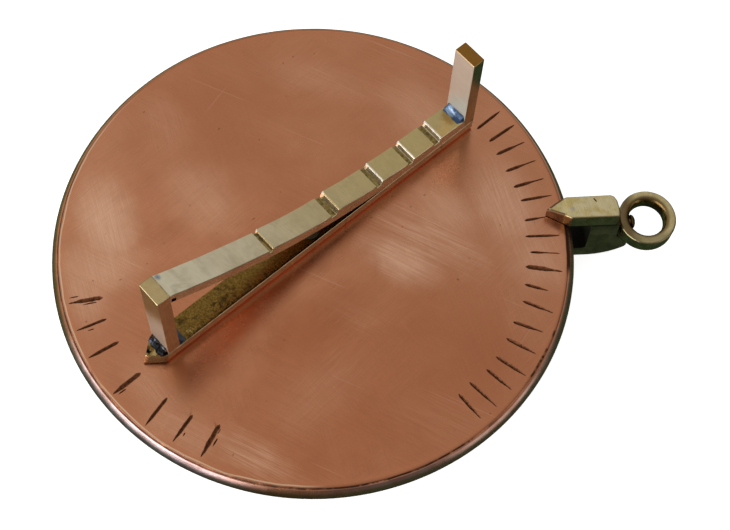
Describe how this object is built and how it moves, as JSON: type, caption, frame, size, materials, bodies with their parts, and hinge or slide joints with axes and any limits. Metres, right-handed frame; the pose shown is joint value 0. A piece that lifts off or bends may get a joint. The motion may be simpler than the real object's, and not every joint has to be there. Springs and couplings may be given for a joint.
{
  "type": "portable sundial",
  "caption": "Pocket altitude sundial: marked copper disc, turning soldered brass gnomon with a curved hour bar, rear suspension arm with rim pointer and swivel ring.",
  "frame": {"origin": "centre of the suspension ring's eye, where the dial is hung", "axes": "+Z is normal to the dial face, out of the side that is read; -X runs from the ring along the suspension arm to the pivot, so +X is the way the ring is pulled; +Y completes a right-handed frame"},
  "size_m": [0.1452, 0.12, 0.0436],
  "materials": {
    "dial_disc": "brushed, tarnished copper",
    "gnomon_base_bar": "tarnished, filed",
    "gnomon_post": "filed, heat-tinted",
    "hour_scale_bar": "filed across",
    "shadow_upright": "brushed",
    "post_outer_solder": "dull soft solder",
    "post_inner_solder": "dull soft solder",
    "post_head_solder": "dull soft solder",
    "upright_solder": "dull soft solder",
    "pivot_arbor": "turned",
    "gnomon_washer": "satin",
    "hub_spacer": "turned",
    "arm_washer": "satin",
    "tail_washer": "satin",
    "suspension_arm": "tarnished, filed",
    "arm_rivets": "hammered",
    "shackle_body": "tarnished, filed",
    "pointer_plate": "tarnished, filed",
    "pointer_solder": "dull soft solder",
    "swivel_pin": "dark tarnish",
    "suspension_ring": "satin"
  },
  "bodies": {
    "disc": {"dial_disc": "dial_disc", "pivot_arbor": "pivot_arbor", "hub_spacer": "hub_spacer", "tail_washer": "tail_washer"},
    "gnomon": {"gnomon_base_bar": "gnomon_base_bar", "gnomon_post": "gnomon_post", "hour_scale_bar": "hour_scale_bar", "shadow_upright": "shadow_upright", "post_outer_solder": "post_outer_solder", "post_inner_solder": "post_inner_solder", "post_head_solder": "post_head_solder", "upright_solder": "upright_solder", "gnomon_washer": "gnomon_washer"},
    "arm": {"suspension_arm": "suspension_arm", "arm_washer": "arm_washer", "arm_rivets": "arm_rivets", "shackle_body": "shackle_body", "pointer_plate": "pointer_plate", "pointer_solder": "pointer_solder", "swivel_pin": "swivel_pin"},
    "ring": {"suspension_ring": "suspension_ring"}
  },
  "joints": [
    {"name": "gnomon_turn", "type": "hinge", "parent": "disc", "child": "gnomon", "pos_m": [-0.07945, 0, 0.006], "axis": [0, 0, 1], "continuous": true},
    {"name": "arm_turn", "type": "hinge", "parent": "disc", "child": "arm", "pos_m": [-0.07945, 0, -0.0055], "axis": [0, 0, 1], "continuous": true},
    {"name": "ring_swivel", "type": "hinge", "parent": "arm", "child": "ring", "pos_m": [-0.006, 0, 0], "axis": [1, 0, 0], "continuous": true}
  ]
}
